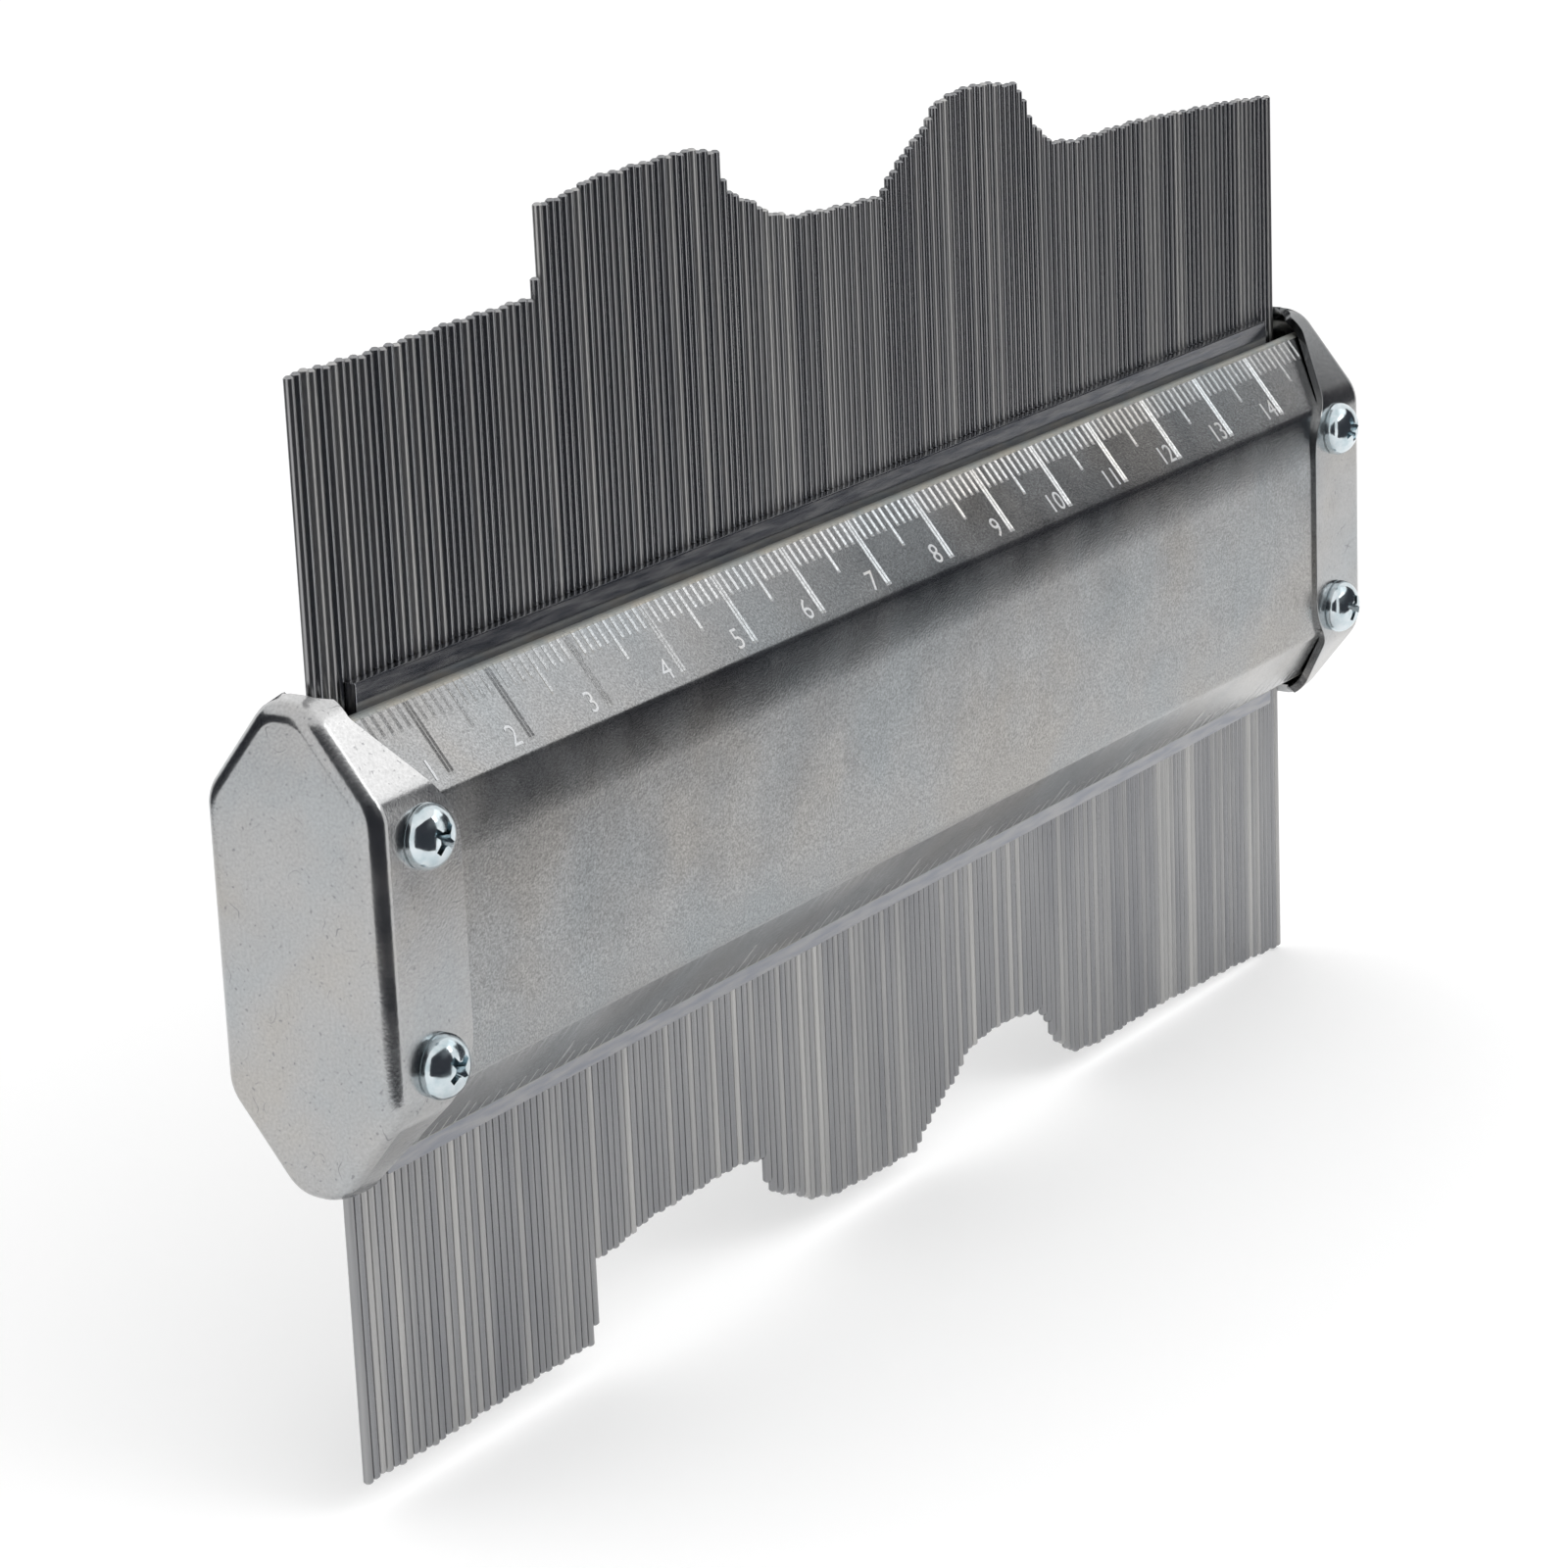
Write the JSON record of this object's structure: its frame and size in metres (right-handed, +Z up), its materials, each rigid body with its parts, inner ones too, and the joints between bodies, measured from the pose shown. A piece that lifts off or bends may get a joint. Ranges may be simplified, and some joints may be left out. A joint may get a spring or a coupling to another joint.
{
  "type": "contour gauge",
  "caption": "Hand gauge that copies a moulding's outline: a row of sliding steel needles held between two pressed steel shells with end caps.",
  "frame": {"origin": "centre of the left end cap's flat outer face", "axes": "+X along the scale to the right end cap, +Y to the rear shell, +Z up along the needles"},
  "size_m": [0.155, 0.0198, 0.0958],
  "materials": {
    "shell_zinc": "bright zinc plate, satin, finely mottled",
    "cap_zinc": "bright zinc plate, satin, scuffed",
    "screw_zinc": "blue zinc plate, polished",
    "guide_steel": "plain steel strip, smooth",
    "pad_felt": "dense felt",
    "needle_steel": "drawn steel wire, semi-bright"
  },
  "bodies": {
    "root": {"front_shell": "shell_zinc", "rear_shell": "shell_zinc", "left_end_cap": "cap_zinc", "right_end_cap": "cap_zinc", "cap_screws": "screw_zinc", "front_guide_plate": "guide_steel", "rear_guide_plate": "guide_steel", "front_friction_pad": "pad_felt", "rear_friction_pad": "pad_felt"},
    "needles_01": {"needles_01": "needle_steel"},
    "needles_02": {"needles_02": "needle_steel"},
    "needles_03": {"needles_03": "needle_steel"},
    "needles_04": {"needles_04": "needle_steel"},
    "needles_05": {"needles_05": "needle_steel"},
    "needles_06": {"needles_06": "needle_steel"},
    "needles_07": {"needles_07": "needle_steel"},
    "needles_08": {"needles_08": "needle_steel"},
    "needles_09": {"needles_09": "needle_steel"},
    "needles_10": {"needles_10": "needle_steel"},
    "needles_11": {"needles_11": "needle_steel"},
    "needles_12": {"needles_12": "needle_steel"},
    "needles_13": {"needles_13": "needle_steel"},
    "needles_14": {"needles_14": "needle_steel"},
    "needles_15": {"needles_15": "needle_steel"},
    "needles_16": {"needles_16": "needle_steel"},
    "needles_17": {"needles_17": "needle_steel"},
    "needles_18": {"needles_18": "needle_steel"},
    "needles_19": {"needles_19": "needle_steel"},
    "needles_20": {"needles_20": "needle_steel"},
    "needles_21": {"needles_21": "needle_steel"},
    "needles_22": {"needles_22": "needle_steel"},
    "needles_23": {"needles_23": "needle_steel"},
    "needles_24": {"needles_24": "needle_steel"},
    "needles_25": {"needles_25": "needle_steel"},
    "needles_26": {"needles_26": "needle_steel"},
    "needles_27": {"needles_27": "needle_steel"},
    "needles_28": {"needles_28": "needle_steel"},
    "needles_29": {"needles_29": "needle_steel"},
    "needles_30": {"needles_30": "needle_steel"},
    "needles_31": {"needles_31": "needle_steel"},
    "needles_32": {"needles_32": "needle_steel"},
    "needles_33": {"needles_33": "needle_steel"},
    "needles_34": {"needles_34": "needle_steel"},
    "needles_35": {"needles_35": "needle_steel"},
    "needles_36": {"needles_36": "needle_steel"},
    "needles_37": {"needles_37": "needle_steel"},
    "needles_38": {"needles_38": "needle_steel"},
    "needles_39": {"needles_39": "needle_steel"},
    "needles_40": {"needles_40": "needle_steel"},
    "needles_41": {"needles_41": "needle_steel"},
    "needles_42": {"needles_42": "needle_steel"},
    "needles_43": {"needles_43": "needle_steel"},
    "needles_44": {"needles_44": "needle_steel"},
    "needles_45": {"needles_45": "needle_steel"}
  },
  "joints": [
    {"name": "slide_01", "type": "slide", "parent": "root", "child": "needles_01", "axis": [0, 0, 1], "range_m": [-0.0227, 0.0235]},
    {"name": "slide_02", "type": "slide", "parent": "root", "child": "needles_02", "axis": [0, 0, 1], "range_m": [-0.0227, 0.0236]},
    {"name": "slide_03", "type": "slide", "parent": "root", "child": "needles_03", "axis": [0, 0, 1], "range_m": [-0.0226, 0.0236]},
    {"name": "slide_04", "type": "slide", "parent": "root", "child": "needles_04", "axis": [0, 0, 1], "range_m": [-0.0227, 0.0236]},
    {"name": "slide_05", "type": "slide", "parent": "root", "child": "needles_05", "axis": [0, 0, 1], "range_m": [-0.0228, 0.0235]},
    {"name": "slide_06", "type": "slide", "parent": "root", "child": "needles_06", "axis": [0, 0, 1], "range_m": [-0.0228, 0.0234]},
    {"name": "slide_07", "type": "slide", "parent": "root", "child": "needles_07", "axis": [0, 0, 1], "range_m": [-0.0229, 0.0233]},
    {"name": "slide_08", "type": "slide", "parent": "root", "child": "needles_08", "axis": [0, 0, 1], "range_m": [-0.0229, 0.0234]},
    {"name": "slide_09", "type": "slide", "parent": "root", "child": "needles_09", "axis": [0, 0, 1], "range_m": [-0.0229, 0.0233]},
    {"name": "slide_10", "type": "slide", "parent": "root", "child": "needles_10", "axis": [0, 0, 1], "range_m": [-0.0244, 0.0164]},
    {"name": "slide_11", "type": "slide", "parent": "root", "child": "needles_11", "axis": [0, 0, 1], "range_m": [-0.0299, 0.0162]},
    {"name": "slide_12", "type": "slide", "parent": "root", "child": "needles_12", "axis": [0, 0, 1], "range_m": [-0.0306, 0.0156]},
    {"name": "slide_13", "type": "slide", "parent": "root", "child": "needles_13", "axis": [0, 0, 1], "range_m": [-0.0306, 0.0156]},
    {"name": "slide_14", "type": "slide", "parent": "root", "child": "needles_14", "axis": [0, 0, 1], "range_m": [-0.0307, 0.0156]},
    {"name": "slide_15", "type": "slide", "parent": "root", "child": "needles_15", "axis": [0, 0, 1], "range_m": [-0.0307, 0.0155]},
    {"name": "slide_16", "type": "slide", "parent": "root", "child": "needles_16", "axis": [0, 0, 1], "range_m": [-0.0305, 0.0156]},
    {"name": "slide_17", "type": "slide", "parent": "root", "child": "needles_17", "axis": [0, 0, 1], "range_m": [-0.0277, 0.016]},
    {"name": "slide_18", "type": "slide", "parent": "root", "child": "needles_18", "axis": [0, 0, 1], "range_m": [-0.0255, 0.0198]},
    {"name": "slide_19", "type": "slide", "parent": "root", "child": "needles_19", "axis": [0, 0, 1], "range_m": [-0.0238, 0.0212]},
    {"name": "slide_20", "type": "slide", "parent": "root", "child": "needles_20", "axis": [0, 0, 1], "range_m": [-0.0232, 0.0227]},
    {"name": "slide_21", "type": "slide", "parent": "root", "child": "needles_21", "axis": [0, 0, 1], "range_m": [-0.0229, 0.0234]},
    {"name": "slide_22", "type": "slide", "parent": "root", "child": "needles_22", "axis": [0, 0, 1], "range_m": [-0.0227, 0.0235]},
    {"name": "slide_23", "type": "slide", "parent": "root", "child": "needles_23", "axis": [0, 0, 1], "range_m": [-0.0225, 0.0237]},
    {"name": "slide_24", "type": "slide", "parent": "root", "child": "needles_24", "axis": [0, 0, 1], "range_m": [-0.0224, 0.0237]},
    {"name": "slide_25", "type": "slide", "parent": "root", "child": "needles_25", "axis": [0, 0, 1], "range_m": [-0.023, 0.0215]},
    {"name": "slide_26", "type": "slide", "parent": "root", "child": "needles_26", "axis": [0, 0, 1], "range_m": [-0.0253, 0.0198]},
    {"name": "slide_27", "type": "slide", "parent": "root", "child": "needles_27", "axis": [0, 0, 1], "range_m": [-0.0272, 0.0174]},
    {"name": "slide_28", "type": "slide", "parent": "root", "child": "needles_28", "axis": [0, 0, 1], "range_m": [-0.029, 0.017]},
    {"name": "slide_29", "type": "slide", "parent": "root", "child": "needles_29", "axis": [0, 0, 1], "range_m": [-0.0294, 0.0169]},
    {"name": "slide_30", "type": "slide", "parent": "root", "child": "needles_30", "axis": [0, 0, 1], "range_m": [-0.0291, 0.017]},
    {"name": "slide_31", "type": "slide", "parent": "root", "child": "needles_31", "axis": [0, 0, 1], "range_m": [-0.028, 0.0177]},
    {"name": "slide_32", "type": "slide", "parent": "root", "child": "needles_32", "axis": [0, 0, 1], "range_m": [-0.0241, 0.0194]},
    {"name": "slide_33", "type": "slide", "parent": "root", "child": "needles_33", "axis": [0, 0, 1], "range_m": [-0.0225, 0.0231]},
    {"name": "slide_34", "type": "slide", "parent": "root", "child": "needles_34", "axis": [0, 0, 1], "range_m": [-0.022, 0.0239]},
    {"name": "slide_35", "type": "slide", "parent": "root", "child": "needles_35", "axis": [0, 0, 1], "range_m": [-0.0221, 0.0242]},
    {"name": "slide_36", "type": "slide", "parent": "root", "child": "needles_36", "axis": [0, 0, 1], "range_m": [-0.022, 0.0242]},
    {"name": "slide_37", "type": "slide", "parent": "root", "child": "needles_37", "axis": [0, 0, 1], "range_m": [-0.022, 0.0242]},
    {"name": "slide_38", "type": "slide", "parent": "root", "child": "needles_38", "axis": [0, 0, 1], "range_m": [-0.022, 0.0243]},
    {"name": "slide_39", "type": "slide", "parent": "root", "child": "needles_39", "axis": [0, 0, 1], "range_m": [-0.0217, 0.0243]},
    {"name": "slide_40", "type": "slide", "parent": "root", "child": "needles_40", "axis": [0, 0, 1], "range_m": [-0.0217, 0.0246]},
    {"name": "slide_41", "type": "slide", "parent": "root", "child": "needles_41", "axis": [0, 0, 1], "range_m": [-0.0214, 0.0248]},
    {"name": "slide_42", "type": "slide", "parent": "root", "child": "needles_42", "axis": [0, 0, 1], "range_m": [-0.0213, 0.0249]},
    {"name": "slide_43", "type": "slide", "parent": "root", "child": "needles_43", "axis": [0, 0, 1], "range_m": [-0.0211, 0.0251]},
    {"name": "slide_44", "type": "slide", "parent": "root", "child": "needles_44", "axis": [0, 0, 1], "range_m": [-0.0207, 0.0253]},
    {"name": "slide_45", "type": "slide", "parent": "root", "child": "needles_45", "axis": [0, 0, 1], "range_m": [-0.0206, 0.0256]}
  ]
}
